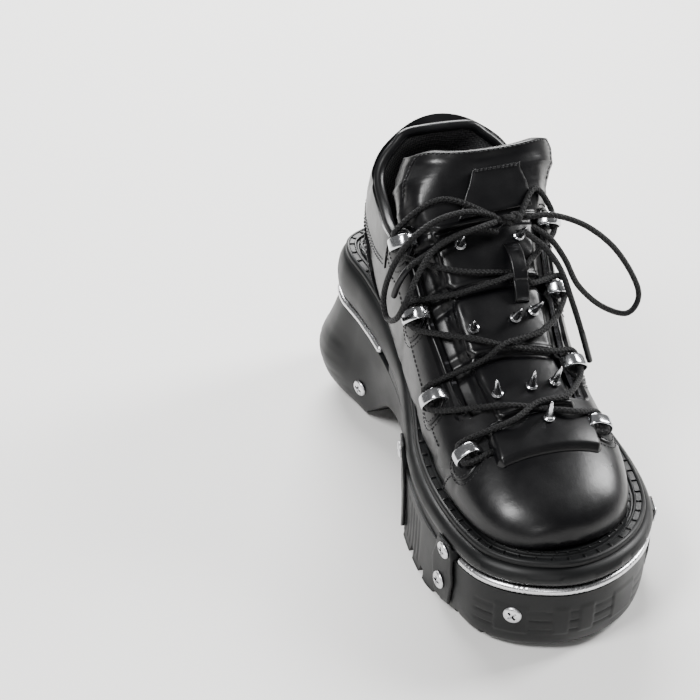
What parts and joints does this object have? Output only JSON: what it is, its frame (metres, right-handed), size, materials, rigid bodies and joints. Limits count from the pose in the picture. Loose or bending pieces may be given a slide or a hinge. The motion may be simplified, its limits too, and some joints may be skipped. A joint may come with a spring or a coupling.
{
  "type": "platform boot",
  "caption": "Black leather platform boot on a heavy heel with an arched rubber sole, spiked padded tongue, lace loops, metal bars and a tied bow.",
  "frame": {"origin": "Middle of the boot's bounding box on the ground, the loose lace left out", "axes": "toe to -Y, heel to +Y, inner side to -X, outer side to +X, up +Z"},
  "size_m": [0.1476, 0.294, 0.1878],
  "materials": {
    "leather": "semi-gloss",
    "sole_rubber": "satin",
    "lining": "matt",
    "lace": "matt",
    "bright_metal": "polished",
    "steel": "bright zinc"
  },
  "bodies": {
    "root": {"arch_pad_inner": "sole_rubber", "arch_pad_outer": "sole_rubber", "bow_loop_inner": "lace", "bow_loop_outer": "lace", "collar_band": "leather", "eyestay": "leather", "forefoot_pad_inner": "sole_rubber", "forefoot_pad_outer": "sole_rubber", "heel_bar": "bright_metal", "heel_counter": "leather", "insole": "lining", "lace_bars": "lace", "lace_end_inner": "lace", "lace_end_outer": "lace", "lace_keeper": "leather", "lace_knot": "lace", "lace_loop_inner_1": "bright_metal", "lace_loop_inner_2": "bright_metal", "lace_loop_inner_3": "bright_metal", "lace_loop_inner_4": "bright_metal", "lace_loop_outer_1": "bright_metal", "lace_loop_outer_2": "bright_metal", "lace_loop_outer_3": "bright_metal", "lace_loop_outer_4": "bright_metal", "midsole": "sole_rubber", "outsole_forefoot": "sole_rubber", "outsole_heel": "sole_rubber", "pull_tab": "leather", "screw_inner_1": "steel", "screw_inner_2": "steel", "screw_inner_3": "steel", "screw_inner_4": "steel", "screw_inner_5": "steel", "screw_outer_1": "steel", "screw_outer_2": "steel", "screw_outer_3": "steel", "screw_outer_4": "steel", "stud_1": "bright_metal", "stud_2": "bright_metal", "stud_3": "bright_metal", "stud_4": "bright_metal", "stud_5": "bright_metal", "stud_6": "bright_metal", "stud_7": "bright_metal", "stud_8": "bright_metal", "stud_9": "bright_metal", "toe_bar": "bright_metal", "toe_cap": "leather", "tongue": "leather", "upper": "leather", "welt": "sole_rubber"}
  },
  "joints": []
}
